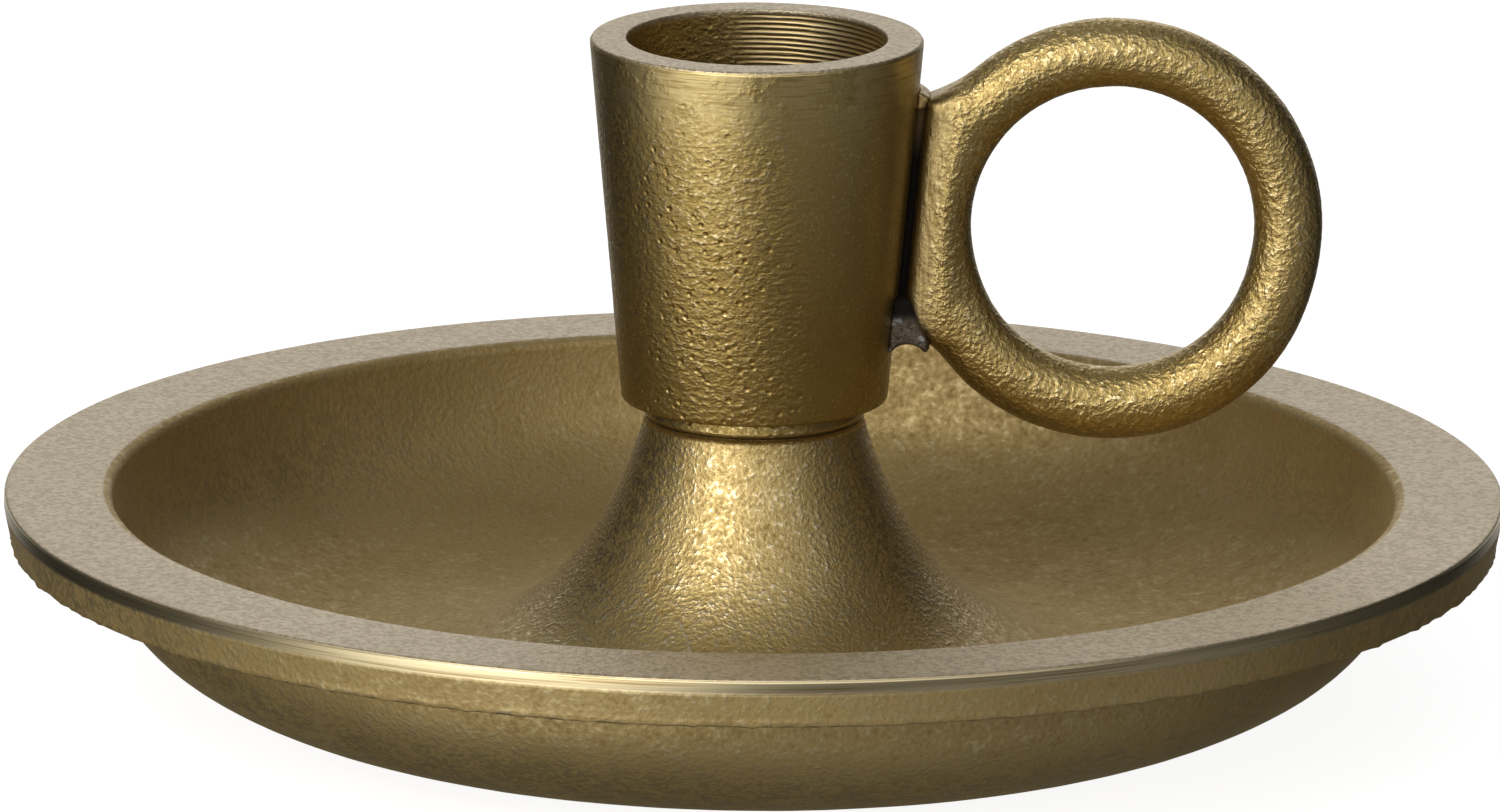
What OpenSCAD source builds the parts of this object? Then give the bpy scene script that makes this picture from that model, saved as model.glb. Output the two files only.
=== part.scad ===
// Chamberstick: a cast brass drip pan with a hollow flared stem, a candle cup screwed
// down on the stem from below, and a finger ring brazed to the side of the cup.
//
// Millimetres. The origin is the middle of the base on the table, +Z runs up the axis of
// the candle socket, and +X points to the ring handle.

/* [Drip pan] */
// Outer diameter of the rim
pan_d = 130; // [110:0.5:160]
// Height of the rim's top above the table
rim_h = 18.5; // [15:0.1:26]
// Width of the flat flange round the dish
flange_w = 9.5; // [5:0.1:14]
// Thickness of the flange at its outer edge
flange_t = 4.3; // [2.5:0.1:6]
// Height of the band at the top of the edge that is turned smooth
band_h = 1.5; // [0.6:0.1:2]
// How far the rough cast edge below that band draws in
edge_draft = 0.5; // [0.1:0.05:1]
// Bevel on the sharp outer edges of the rim
rim_bevel = 0.25; // [0.1:0.05:0.5]
// Radius of the flange's worn inner edge
mouth_round = 1; // [0.3:0.1:1.8]
// Height of the steep wall under the inner edge of the flange
steep_h = 4.3; // [2:0.1:6]
// How far that steep wall leans in
steep_draft = 1.1; // [0.2:0.1:3]
// Wall thickness of the dish below the flange
wall_t = 2; // [1.5:0.1:3]
// Fillet where the underside of the flange meets the dish
flange_fillet = 1; // [0.4:0.1:1.8]
// Outer diameter of the foot ring
foot_d = 68; // [56:0.5:84]
// Width of the foot ring's resting face
foot_w = 4; // [2:0.1:8]
// Height of the foot ring below the underside of the floor
foot_h = 1; // [0.5:0.1:2]
// Thickness of the floor, and of the shell round the hollow of the stem
floor_t = 3; // [2:0.1:4]
// Width of the flat ring of floor between the stem's flare and the dish's curve
floor_flat = 1.9; // [0.5:0.1:6]

/* [Stem] */
// Height of the cup's seat above the rim
seat_rise = 6.4; // [3:0.1:12]
// Diameter of the stem at the seat
neck_d = 19; // [17:0.1:22]
// Angle of the stem's side to the vertical at the seat
neck_angle = 15; // [8:0.5:22]
// Radius of the upper part of the flare
flare_r = 40; // [30:0.5:55]
// Angle to the vertical at which the flare turns into its lower, rounder part
flare_angle = 33; // [26:0.5:40]
// Height of the solid metal under the seat
plug_h = 11.9; // [8:0.1:14]

/* [Candle cup] */
// Height of the cup above its seat
cup_h = 33.4; // [29:0.1:45]
// Outer diameter at the mouth
cup_top_d = 29; // [27.5:0.1:34]
// Outer diameter at the foot, above the chamfer
cup_low_d = 23.3; // [21.5:0.1:26]
// Height of the chamfer round the foot
cup_chamfer_h = 2.2; // [1:0.1:4]
// How far the foot stands out past the neck all round
cup_overhang = 0.15; // [0.05:0.05:0.6]
// Bevel round the outside of the mouth
cup_bevel = 0.3; // [0.1:0.05:0.6]
// Diameter of the socket that the candle stands in
bore_d = 22.5; // [20:0.1:24]
// Depth of the socket
bore_depth = 24; // [18:0.5:24.5]
// Diameter of the spigot under the cup that centres it in the stem
spigot_d = 12; // [9:0.1:14]
// Length of that spigot
spigot_h = 2.5; // [1.5:0.1:4]

/* [Ring handle] */
// Radius of the ring, from its centre to the middle of its bar
ring_r = 15.2; // [13:0.1:17]
// Diameter of the ring's bar
bar_d = 6.1; // [4:0.1:8]
// How far the ring's centre lies below the mouth of the cup
ring_drop = 16.3; // [14:0.1:18]
// How much of the bar is filed away to make the flat back
back_cut = 1; // [0.5:0.1:2]
// Gap between the cup and the handle's flat back
back_gap = 0.55; // [0.3:0.05:1]
// Thickness of the web that squares up the flat back
web_t = 4.7; // [2.5:0.1:6]
// How far the top of the web lies below the mouth of the cup
web_top_drop = 5.1; // [3.5:0.1:7]
// Height of the web's flat back
web_h = 20.4; // [17:0.1:22]

/* [Brazing] */
// Height of the bead of braze at the lower end of the web
bead_h = 4.5; // [3:0.1:6]
// Width of that bead across the handle
bead_w = 6.6; // [5:0.1:9]
// How far that bead spreads out from the cup at its foot
bead_spread = 3.1; // [2:0.1:4]
// How far that bead reaches below the web
bead_drop = 1.6; // [0.8:0.1:3]
// Radius of the hollow arch under that bead
bead_arch_r = 1.8; // [1:0.1:3]
// Height of the small tack of braze at the top of the web
tack_h = 1.4; // [0.8:0.1:2.5]
// Width of that tack across the handle
tack_w = 4; // [2:0.1:6]
// How far that tack spreads out from the cup
tack_spread = 1.1; // [0.9:0.1:2]
// Width of the thin run of braze drawn up between the cup and the flat back
seam_w = 1.6; // [0.8:0.1:3]

/* [Fixing screw] */
// Thread diameter of the screw
screw_d = 6; // [4:0.5:8]
// Length of the screw under its head
screw_l = 20; // [17.5:0.5:20.5]
// Diameter of its head
head_d = 10; // [8:0.1:12]
// Height of its head
head_h = 3.9; // [2.5:0.1:5]
// Width of the slot in its head
slot_w = 1.6; // [0.8:0.1:2.5]
// Depth of that slot
slot_deep = 1.9; // [1:0.1:2.4]
// Outer diameter of the washer
washer_d = 12; // [10.5:0.1:16]
// Thickness of the washer
washer_t = 1.6; // [0.8:0.1:2.5]
// Depth of the tapped hole past the tip of the screw
tap_spare = 0.6; // [0.3:0.1:1]

/* [Clearances] */
// Radial clearance of the screw in the stem
hole_gap = 0.3; // [0.1:0.05:0.6]
// Radial clearance of the screw in the washer
washer_gap = 0.2; // [0.1:0.05:0.4]
// Radial clearance of the screw's thread in the cup
thread_gap = 0.05; // [0.02:0.01:0.1]
// Clearance round the spigot
spigot_gap = 0.1; // [0.05:0.05:0.3]
// Clearance below the spigot
spigot_end_gap = 0.3; // [0.1:0.1:0.6]
// Clearance between the top of the thin run of braze and the tack above it
seam_end_gap = 0.1; // [0.05:0.05:0.3]

/* [Hidden] */
$fn = 96;

// Steps along the long curves and the small fillets
curve_steps = 16;
fillet_steps = 6;
// Overrun of a cutting shape past what it cuts
past = 1;

// Drip pan, as radii and heights
pan_r = pan_d / 2;
mouth_r = pan_r - flange_w;
flange_z = rim_h - flange_t;
steep_r = mouth_r - steep_draft;
steep_z = rim_h - steep_h;
bowl_r = steep_r + wall_t;
bowl_z = flange_z - flange_fillet;
foot_r = foot_d / 2;
floor_z = foot_h + floor_t;

// Stem: two arcs that meet smoothly, the lower one running out level into the floor.
// Each arc is centred outside the stem, and its angles are those of its side to the
// vertical.
seat_z = rim_h + seat_rise;
neck_r = neck_d / 2;
upper_c = [neck_r + flare_r * cos(neck_angle), seat_z + flare_r * sin(neck_angle)];
turn = [upper_c[0] - flare_r * cos(flare_angle), upper_c[1] - flare_r * sin(flare_angle)];
lower_r = (turn[1] - floor_z) / (1 - sin(flare_angle));
lower_c = [turn[0] + lower_r * cos(flare_angle), floor_z + lower_r];
floor_r = lower_c[0] + floor_flat;

// Hollow under the stem: an arc one floor thickness outside the lower flare
hollow_r = lower_r + floor_t;
hollow_z = seat_z - plug_h;
hollow_top_angle = asin((lower_c[1] - hollow_z) / hollow_r);
foot_in_r = foot_r - foot_w;
hollow_end_angle = acos(max(0, (lower_c[0] - foot_in_r) / hollow_r));

// Candle cup
cup_top_z = seat_z + cup_h;
cup_top_r = cup_top_d / 2;
cup_low_r = cup_low_d / 2;
cup_low_z = seat_z + cup_chamfer_h;
cup_foot_r = neck_r + cup_overhang;
bore_r = bore_d / 2;
bore_z = cup_top_z - bore_depth;
spigot_r = spigot_d / 2;
cup_slope = (cup_top_r - cup_low_r) / (cup_top_z - cup_low_z);

// Ring handle
bar_r = bar_d / 2;
ring_z = cup_top_z - ring_drop;
ring_x = back_x(ring_z) + ring_r + bar_r - back_cut;
web_top_z = cup_top_z - web_top_drop;
web_low_z = web_top_z - web_h;
// The web runs into the bar at these angles above and below the middle of the ring
web_span = 48;

// Braze
bead_z = web_low_z - bead_drop;
tack_z = web_top_z - tack_h / 2;
seam_z = tack_z - seam_end_gap;

// Fixing screw
screw_r = screw_d / 2;
washer_z = hollow_z - washer_t;
head_z = washer_z - head_h;
screw_tip_z = washer_z + screw_l;
tap_z = screw_tip_z + tap_spare;
screw_bevel = 0.6;

// Radius of the cup's tapered side at a height
function cup_r(z) = cup_low_r + cup_slope * (z - cup_low_z);
// Distance of the handle's flat back from the axis at a height
function back_x(z) = cup_r(z) + back_gap;
// Points along an arc about c with radii ra across and rb up, from angle a0 to a1
function arc(c, ra, rb, a0, a1, steps) = [
    for (i = [0:steps])
        let (a = a0 + (a1 - a0) * i / steps)
            [c[0] + ra * cos(a), c[1] + rb * sin(a)]
];

module drip_pan() {
    color("darkgoldenrod")
    rotate_extrude()
    polygon(concat(
        // foot ring and the underside of the dish
        [[foot_in_r, 0]],
        arc([foot_r, bowl_z], bowl_r - foot_r, bowl_z, 270, 360, curve_steps),
        arc([bowl_r + flange_fillet, bowl_z], flange_fillet, flange_fillet, 180, 90, fillet_steps),
        // edge of the rim
        [
            [pan_r - edge_draft - rim_bevel, flange_z],
            [pan_r - edge_draft, flange_z + rim_bevel],
            [pan_r, rim_h - band_h],
            [pan_r, rim_h - rim_bevel],
            [pan_r - rim_bevel, rim_h]
        ],
        arc([mouth_r + mouth_round, rim_h - mouth_round], mouth_round, mouth_round, 90, 180,
            fillet_steps),
        // inside of the dish, down its wall and across its floor
        arc([floor_r, steep_z], steep_r - floor_r, steep_z - floor_z, 0, -90, curve_steps),
        // outside of the stem, from the floor up to the seat
        arc(lower_c, lower_r, lower_r, 270, 180 + flare_angle, curve_steps),
        arc(upper_c, flare_r, flare_r, 180 + flare_angle, 180 + neck_angle, fillet_steps),
        // recess for the spigot and the hole for the screw
        [
            [spigot_r + spigot_gap, seat_z],
            [spigot_r + spigot_gap, seat_z - spigot_h - spigot_end_gap],
            [screw_r + hole_gap, seat_z - spigot_h - spigot_end_gap],
            [screw_r + hole_gap, hollow_z]
        ],
        // hollow of the stem, down to the inside of the foot ring
        arc(lower_c, hollow_r, hollow_r, 180 + hollow_top_angle, 180 + hollow_end_angle,
            curve_steps),
        [[foot_in_r, lower_c[1] - hollow_r * sin(hollow_end_angle)]]
    ));
}

module candle_cup() {
    color("goldenrod")
    rotate_extrude()
    polygon([
        [screw_r + thread_gap, seat_z - spigot_h],
        [spigot_r, seat_z - spigot_h],
        [spigot_r, seat_z],
        [cup_foot_r, seat_z],
        [cup_low_r, cup_low_z],
        [cup_r(cup_top_z - cup_bevel), cup_top_z - cup_bevel],
        [cup_top_r - cup_bevel, cup_top_z],
        [bore_r, cup_top_z],
        [bore_r, bore_z],
        [0, bore_z],
        [0, tap_z],
        [screw_r + thread_gap, tap_z]
    ]);
}

// A plate that stands in the plane of the ring: x runs out from the cup, y is the height
module upright(thickness) {
    rotate([90, 0, 0])
    linear_extrude(thickness, center = true)
    children();
}

module handle_shape() {
    difference() {
        union() {
            translate([ring_x, 0, ring_z])
            rotate([90, 0, 0])
            rotate_extrude()
            translate([ring_r, 0])
            circle(r = bar_r);

            upright(web_t)
            polygon(concat(
                [[back_x(web_low_z) - past, web_low_z]],
                arc([ring_x, ring_z], ring_r, ring_r, 180 + web_span, 180 - web_span, curve_steps),
                [[back_x(web_top_z) - past, web_top_z]]
            ));
        }
        // everything on the cup's side of the flat back
        upright(bar_d + 2 * past)
        polygon([
            [0, ring_z - ring_r],
            [back_x(ring_z - ring_r), ring_z - ring_r],
            [back_x(ring_z + ring_r), ring_z + ring_r],
            [0, ring_z + ring_r]
        ]);
    }
}

module ring_handle() {
    color("gold")
    handle_shape();
}

// Braze that has run round the cup: an outline turned about the cup's axis, as wide as
// w across the handle, with the cup's taper and the handle taken out of it
module braze(w, reach) {
    difference() {
        intersection() {
            rotate_extrude()
            children();

            translate([0, -w / 2, 0])
            cube([reach, w, cup_top_z]);
        }
        translate([0, 0, cup_low_z])
        cylinder(h = cup_top_z - cup_low_z, r1 = cup_low_r, r2 = cup_top_r);
        handle_shape();
    }
}

module bead() {
    inner_r = cup_r(bead_z) - past;
    outer_r = cup_r(bead_z) + bead_spread;
    arch_c = [cup_r(bead_z) + bead_spread / 2, bead_z + bead_drop / 2 - bead_arch_r];
    arch_half = acos((bead_z - arch_c[1]) / bead_arch_r);
    braze(bead_w, outer_r + past)
    polygon(concat(
        [[inner_r, bead_z]],
        arc(arch_c, bead_arch_r, bead_arch_r, 90 + arch_half, 90 - arch_half, fillet_steps),
        [
            [outer_r, bead_z],
            [outer_r, bead_z + bead_drop / 2],
            [back_x(bead_z + bead_h) + past / 2, bead_z + bead_h],
            [inner_r, bead_z + bead_h]
        ]
    ));
}

// The thin run that closes the gap behind the flat back, from inside the bead upwards
module seam() {
    start_z = bead_z + bead_h / 2;
    braze(seam_w, back_x(seam_z) + 2 * past)
    polygon([
        [cup_r(start_z) - past, start_z],
        [back_x(start_z) + past, start_z],
        [back_x(seam_z) + past, seam_z],
        [cup_r(seam_z) - past, seam_z]
    ]);
}

module lower_braze() {
    color("saddlebrown") {
        bead();
        seam();
    }
}

module upper_braze() {
    high_z = tack_z + tack_h;
    color("saddlebrown")
    braze(tack_w, cup_top_r + tack_spread + past)
    polygon([
        [cup_r(tack_z) - past, tack_z],
        [back_x(tack_z), tack_z],
        [cup_r(web_top_z) + tack_spread, web_top_z],
        [cup_r(high_z), high_z],
        [cup_r(high_z) - past, high_z]
    ]);
}

module fixing_screw() {
    color("darkkhaki")
    difference() {
        rotate_extrude()
        polygon([
            [0, head_z],
            [head_d / 2 - screw_bevel, head_z],
            [head_d / 2, head_z + screw_bevel],
            [head_d / 2, washer_z],
            [screw_r, washer_z],
            [screw_r, screw_tip_z - screw_bevel],
            [screw_r - screw_bevel, screw_tip_z],
            [0, screw_tip_z]
        ]);
        translate([-head_d / 2 - past, -slot_w / 2, head_z - past])
        cube([head_d + 2 * past, slot_w, slot_deep + past]);
    }
}

module screw_washer() {
    color("khaki")
    rotate_extrude()
    polygon([
        [screw_r + washer_gap, washer_z],
        [washer_d / 2, washer_z],
        [washer_d / 2, hollow_z],
        [screw_r + washer_gap, hollow_z]
    ]);
}

drip_pan();
candle_cup();
ring_handle();
lower_braze();
upper_braze();
fixing_screw();
screw_washer();
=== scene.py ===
"""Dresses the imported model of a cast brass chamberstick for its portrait.

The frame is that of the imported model: metres, +Z up, origin at the middle of the foot ring
on the table, +X towards the ring handle. The drip pan and the candle cup are turned from
their profiles, the ring handle is swept round its bar, and the braze is worked over from
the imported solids. The screw and its washer, under the stem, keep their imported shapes.
"""

import logging
import math
from abc import ABC, abstractmethod
from dataclasses import astuple, dataclass
from enum import Enum

import bpy
import numpy as np
from mathutils import Matrix, Vector


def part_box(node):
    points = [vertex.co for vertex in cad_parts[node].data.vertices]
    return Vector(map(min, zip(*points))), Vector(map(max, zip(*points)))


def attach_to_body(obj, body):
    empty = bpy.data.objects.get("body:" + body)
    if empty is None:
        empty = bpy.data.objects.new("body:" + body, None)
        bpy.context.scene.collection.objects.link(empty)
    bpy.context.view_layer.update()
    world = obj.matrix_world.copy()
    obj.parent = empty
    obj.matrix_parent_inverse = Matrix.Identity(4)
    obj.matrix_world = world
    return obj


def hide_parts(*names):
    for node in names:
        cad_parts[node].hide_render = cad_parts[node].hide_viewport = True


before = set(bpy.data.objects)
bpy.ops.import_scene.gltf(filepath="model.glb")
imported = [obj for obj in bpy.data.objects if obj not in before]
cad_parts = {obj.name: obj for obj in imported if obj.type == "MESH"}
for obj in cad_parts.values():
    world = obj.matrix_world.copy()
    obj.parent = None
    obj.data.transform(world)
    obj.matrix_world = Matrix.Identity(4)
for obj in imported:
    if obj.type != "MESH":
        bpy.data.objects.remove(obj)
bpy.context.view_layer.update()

log = logging.getLogger("chamberstick")

MM = 0.001
BODY = "root"

Colour = tuple[float, float, float]
Socket = bpy.types.NodeSocket


def add_object(name: str, data: bpy.types.ID) -> bpy.types.Object:
    """Adds an object to the scene.

    Args:
        name: the object's name.
        data: its mesh, camera or light.

    Returns:
        The new object.
    """
    made = bpy.data.objects.new(name, data)
    bpy.context.scene.collection.objects.link(made)
    return made


# ---------------------------------------------------------------- node helpers


class Graph:
    """Short calls that add nodes to one tree and join them."""

    def __init__(self, tree: bpy.types.NodeTree) -> None:
        """Keeps the tree that the nodes go into."""
        self.tree = tree

    def feed(self, socket: Socket, value: object) -> None:
        """Links a socket to another, or sets its value.

        Args:
            socket: the input to feed.
            value: an output socket, or a plain value.
        """
        if isinstance(value, Socket):
            self.tree.links.new(value, socket)
        else:
            socket.default_value = value

    def node(self, kind: str, settings: dict | None = None, **inputs: object) -> bpy.types.Node:
        """Adds a node.

        Args:
            kind: Blender's name of the node type.
            settings: properties of the node itself.
            inputs: values or sockets by input name, with _ for a space.

        Returns:
            The new node.
        """
        made = self.tree.nodes.new(kind)
        for key, value in (settings or {}).items():
            setattr(made, key, value)
        for key, value in inputs.items():
            self.feed(made.inputs[key.replace("_", " ")], value)
        return made

    def math(self, operation: str, *values: object) -> Socket:
        """One Math node.

        Args:
            operation: the name of the operation, such as MULTIPLY.
            values: one to three numbers or sockets.

        Returns:
            The result.
        """
        made = self.node("ShaderNodeMath", {"operation": operation})
        for socket, value in zip(made.inputs, values):
            self.feed(socket, value)
        return made.outputs[0]

    def add(self, a: object, b: object) -> Socket:
        """The sum of two values."""
        return self.math("ADD", a, b)

    def sub(self, a: object, b: object) -> Socket:
        """The first value less the second."""
        return self.math("SUBTRACT", a, b)

    def mul(self, a: object, b: object) -> Socket:
        """The product of two values."""
        return self.math("MULTIPLY", a, b)

    def div(self, a: object, b: object) -> Socket:
        """The first value divided by the second."""
        return self.math("DIVIDE", a, b)

    def vector(self, operation: str, a: object, b: object = None, scale: object = None) -> Socket:
        """One Vector Math node.

        Args:
            operation: the name of the operation.
            a: the first vector.
            b: the second vector, where the operation has one.
            scale: the factor of SCALE.

        Returns:
            The resulting vector, or the value of LENGTH and DOT_PRODUCT.
        """
        made = self.node("ShaderNodeVectorMath", {"operation": operation})
        self.feed(made.inputs[0], a)
        if b is not None:
            self.feed(made.inputs[1], b)
        if scale is not None:
            self.feed(made.inputs["Scale"], scale)
        plain = operation in ("LENGTH", "DOT_PRODUCT")
        return made.outputs["Value" if plain else "Vector"]

    def xyz(self, x: object, y: object, z: object) -> Socket:
        """A vector from three values."""
        return self.node("ShaderNodeCombineXYZ", X=x, Y=y, Z=z).outputs[0]

    def split(self, vector: Socket) -> tuple[Socket, Socket, Socket]:
        """The three values of a vector."""
        made = self.node("ShaderNodeSeparateXYZ", Vector=vector)
        return made.outputs[0], made.outputs[1], made.outputs[2]

    def noise(self, where: Socket, size: float | Socket, detail: float = 2.0,
              roughness: float = 0.5, distortion: float = 0.0, seed: object = 0.0) -> Socket:
        """Soft noise between 0 and 1.

        Args:
            where: the place it is read at.
            size: the size of one patch, in metres, or in units of the place.
            detail: how many finer octaves it has.
            roughness: how strong the finer octaves are.
            distortion: how much it is stirred.
            seed: the fourth coordinate, which picks one pattern.

        Returns:
            The noise.
        """
        scale = self.div(1.0, size) if isinstance(size, Socket) else 1.0 / size
        made = self.node("ShaderNodeTexNoise", {"noise_dimensions": "4D"}, Vector=where, W=seed,
                         Scale=scale, Detail=detail, Roughness=roughness, Distortion=distortion)
        return made.outputs[0]

    def ramp(self, value: Socket, low: float, high: float, start: object = 0.0,
             end: object = 1.0) -> Socket:
        """A smooth step from start to end as the value goes from low to high."""
        return self.node("ShaderNodeMapRange", {"interpolation_type": "SMOOTHSTEP"}, Value=value,
                         From_Min=low, From_Max=high, To_Min=start, To_Max=end).outputs[0]

    def blend(self, share: object, a: object, b: object) -> Socket:
        """Mixes two numbers.

        Args:
            share: 0 for the first number, 1 for the second.
            a: the first number.
            b: the second number.

        Returns:
            The mixed number.
        """
        made = self.node("ShaderNodeMix", {"data_type": "FLOAT"})
        for index, value in ((0, share), (2, a), (3, b)):
            self.feed(made.inputs[index], value)
        return made.outputs[0]

    def tint(self, share: object, a: object, b: object) -> Socket:
        """Mixes two colours.

        Args:
            share: 0 for the first colour, 1 for the second.
            a: the first colour.
            b: the second colour.

        Returns:
            The mixed colour.
        """
        made = self.node("ShaderNodeMix", {"data_type": "RGBA"})
        for index, value in ((0, share), (6, a), (7, b)):
            self.feed(made.inputs[index], (*value, 1.0) if isinstance(value, tuple) else value)
        return made.outputs[2]


# ---------------------------------------------------------------- finishes


class Zone(Enum):
    """How the maker left a stretch of the surface. Each name is a mesh attribute, 0 to 1."""

    CAST = "cast"
    DRESSED = "dressed"
    TURNED = "turned"
    BORED = "bored"
    FILED = "filed"
    LIP = "lip"


@dataclass(frozen=True)
class Layer:
    """The sockets of one kind of surface: its colour, roughness and height in metres."""

    colour: Socket
    roughness: Socket
    height: Socket


class Finish(ABC):
    """A way to leave a surface."""

    @abstractmethod
    def layer(self, g: Graph, place: Socket) -> Layer:
        """Builds the surface.

        Args:
            g: the material's graph.
            place: Object coordinates.

        Returns:
            Its layer.
        """


@dataclass(frozen=True)
class CastSkin(Finish):
    """The skin that the mould's sand left: grain, lumps and pits, with brown patina and painted
    shade in the hollows and pale wear with painted highlight on the tops.
    """

    body: Colour = (0.45, 0.345, 0.175)
    # Brown of stains and patina, also used as painted shade in the low grain and in the pits.
    patina_and_shade: Colour = (0.27, 0.19, 0.08)
    # Pale of wear, also used as painted highlight on the high grain.
    wear_and_sheen: Colour = (0.60, 0.49, 0.29)
    grain_size: float = 0.42 * MM
    grain_depth: float = 0.075 * MM
    lump_size: float = 1.3 * MM
    lump_depth: float = 0.08 * MM
    pit_size: float = 1.1 * MM
    pit_depth: float = 0.0
    stain_size: float = 14.0 * MM
    roughness: tuple[float, float] = (0.36, 0.52)
    stretch: Colour = (1.0, 1.0, 1.0)
    calm: tuple[float, float] | None = None
    calm_share: float = 0.12
    spot_size: float = 0.8 * MM
    spot_share: float = 0.0

    def layer(self, g: Graph, place: Socket) -> Layer:
        """Builds the skin.

        Args:
            g: the material's graph.
            place: Object coordinates.

        Returns:
            The layer of cast brass.
        """
        grain = g.noise(place, self.grain_size, distortion=0.1)
        spread = g.vector("MULTIPLY", place, self.stretch)
        lumps = g.noise(spread, self.lump_size, distortion=0.3, seed=3.0)
        if self.calm:
            rough_share = g.ramp(g.split(place)[0], *self.calm, 1.0, self.calm_share)
            lumps = g.add(g.mul(g.sub(lumps, 0.5), rough_share), 0.5)
        stain = g.noise(place, self.stain_size, detail=5.0, roughness=0.6, seed=7.0)
        cells = g.node("ShaderNodeTexVoronoi", {"feature": "SMOOTH_F1"}, Vector=place,
                       Scale=1.0 / self.pit_size, Smoothness=0.35, Randomness=1.0)
        pits = g.ramp(cells.outputs["Distance"], 0.30, 0.05)
        pits = g.mul(pits, g.ramp(stain, 0.35, 0.6))
        if self.calm:
            pits = g.mul(pits, rough_share)
        height = g.add(g.mul(grain, self.grain_depth), g.mul(lumps, self.lump_depth))
        height = g.sub(height, g.mul(pits, self.pit_depth))
        relief = g.add(g.mul(grain, 0.6), g.mul(lumps, 0.4))
        colour = g.tint(g.ramp(stain, 0.3, 0.75, 0.0, 0.45), self.body, self.patina_and_shade)
        # Painted shade: where the relief is low the colour turns dark brown.
        colour = g.tint(g.ramp(relief, 0.47, 0.30, 0.0, 0.75), colour, self.patina_and_shade)
        # Painted highlight: where the relief is high the colour turns pale.
        colour = g.tint(g.ramp(relief, 0.52, 0.68, 0.0, 0.8), colour, self.wear_and_sheen)
        # Painted shade in the pits, together with their patina.
        if self.pit_depth > 0:
            colour = g.tint(g.mul(pits, 0.35), colour, self.patina_and_shade)
        if self.spot_share > 0:
            spots = g.noise(place, self.spot_size, seed=8.0)
            spots = g.mul(g.ramp(spots, 0.66, 0.74), g.ramp(stain, 0.40, 0.62))
            colour = g.tint(g.mul(spots, self.spot_share), colour, self.patina_and_shade)
        roughness = g.ramp(relief, 0.35, 0.65, self.roughness[1], self.roughness[0])
        return Layer(colour, roughness, height)


@dataclass(frozen=True)
class DressedFace(Finish):
    """A face rubbed flat on abrasive: pale, stippled with what is left of the skin, with painted
    shade in the low points of the stipple.
    """

    body: Colour = (0.57, 0.485, 0.345)
    speck_skin_and_shade: Colour = (0.42, 0.345, 0.23)
    speck_size: float = 0.52 * MM
    cloud_size: float = 9.0 * MM
    depth: float = 0.15 * MM
    roughness: float = 0.51

    def layer(self, g: Graph, place: Socket) -> Layer:
        """Builds the face.

        Args:
            g: the material's graph.
            place: Object coordinates.

        Returns:
            The layer of dressed brass.
        """
        stipple = g.noise(place, self.speck_size, detail=3.0, roughness=0.6, distortion=0.5,
                          seed=11.0)
        cloud = g.noise(place, self.cloud_size, detail=3.0, seed=12.0)
        # Painted shade: the low points of the stipple take the darker colour, along with what is
        # left of the skin.
        skin_and_shade_specks = g.ramp(g.add(stipple, g.mul(cloud, 0.2)), 0.68, 0.50)
        colour = g.tint(skin_and_shade_specks, self.body, self.speck_skin_and_shade)
        roughness = g.blend(cloud, self.roughness - 0.06, self.roughness + 0.08)
        return Layer(colour, roughness, g.mul(stipple, self.depth))


@dataclass(frozen=True)
class TurnedFace(Finish):
    """A face cut on the lathe: bright, with fine lines round the axis."""

    body: Colour = (0.66, 0.55, 0.33)
    groove: Colour = (0.38, 0.28, 0.13)
    line_pitch: float = 0.16 * MM
    line_depth: float = 0.010 * MM
    thread: float = 0.0
    roughness: float = 0.27
    arc_share: float = 0.35
    least_radius: float = 0.1 * MM

    def layer(self, g: Graph, place: Socket) -> Layer:
        """Builds the face.

        Args:
            g: the material's graph.
            place: Object coordinates.

        Returns:
            The layer of turned brass.
        """
        x, y, z = g.split(place)
        radius = g.math("SQRT", g.add(g.mul(x, x), g.mul(y, y)))
        radius = g.math("MAXIMUM", radius, self.least_radius)
        across = g.div(g.add(z, radius), self.line_pitch)
        round_x = g.div(g.div(x, radius), self.arc_share)
        round_y = g.div(g.div(y, radius), self.arc_share)
        lines = g.noise(g.xyz(round_x, round_y, across), 1.0, roughness=0.6, seed=21.0)
        if self.thread > 0:
            turn = g.add(g.div(z, self.thread), g.mul(lines, 0.6))
            ridge = g.math("SINE", g.mul(turn, math.tau))
            lines = g.add(g.mul(lines, 0.4), g.mul(ridge, 0.3))
        colour = g.tint(g.ramp(lines, 0.48, 0.34), self.body, self.groove)
        roughness = g.blend(lines, self.roughness + 0.08, self.roughness - 0.05)
        return Layer(colour, roughness, g.mul(lines, self.line_depth))


@dataclass(frozen=True)
class FiledFace(Finish):
    """A face worked with a file: short strokes that lean to one side."""

    body: Colour = (0.36, 0.27, 0.125)
    groove: Colour = (0.17, 0.115, 0.045)
    stroke: float = 2.4 * MM
    pitch: float = 0.28 * MM
    depth: float = 0.04 * MM
    lean: float = math.radians(-12)

    def layer(self, g: Graph, place: Socket) -> Layer:
        """Builds the face.

        Args:
            g: the material's graph.
            place: Object coordinates.

        Returns:
            The layer of filed brass.
        """
        turned = g.node("ShaderNodeMapping", {"vector_type": "POINT"}, Vector=place,
                        Rotation=(0.0, self.lean, 0.0),
                        Scale=(1 / self.pitch, 1 / self.pitch, 1 / self.stroke))
        strokes = g.noise(turned.outputs[0], 1.0, detail=3.0, roughness=0.6, distortion=0.3,
                          seed=31.0)
        colour = g.tint(g.ramp(strokes, 0.52, 0.38), self.body, self.groove)
        roughness = g.blend(strokes, 0.5, 0.36)
        return Layer(colour, roughness, g.mul(strokes, self.depth))


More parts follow.
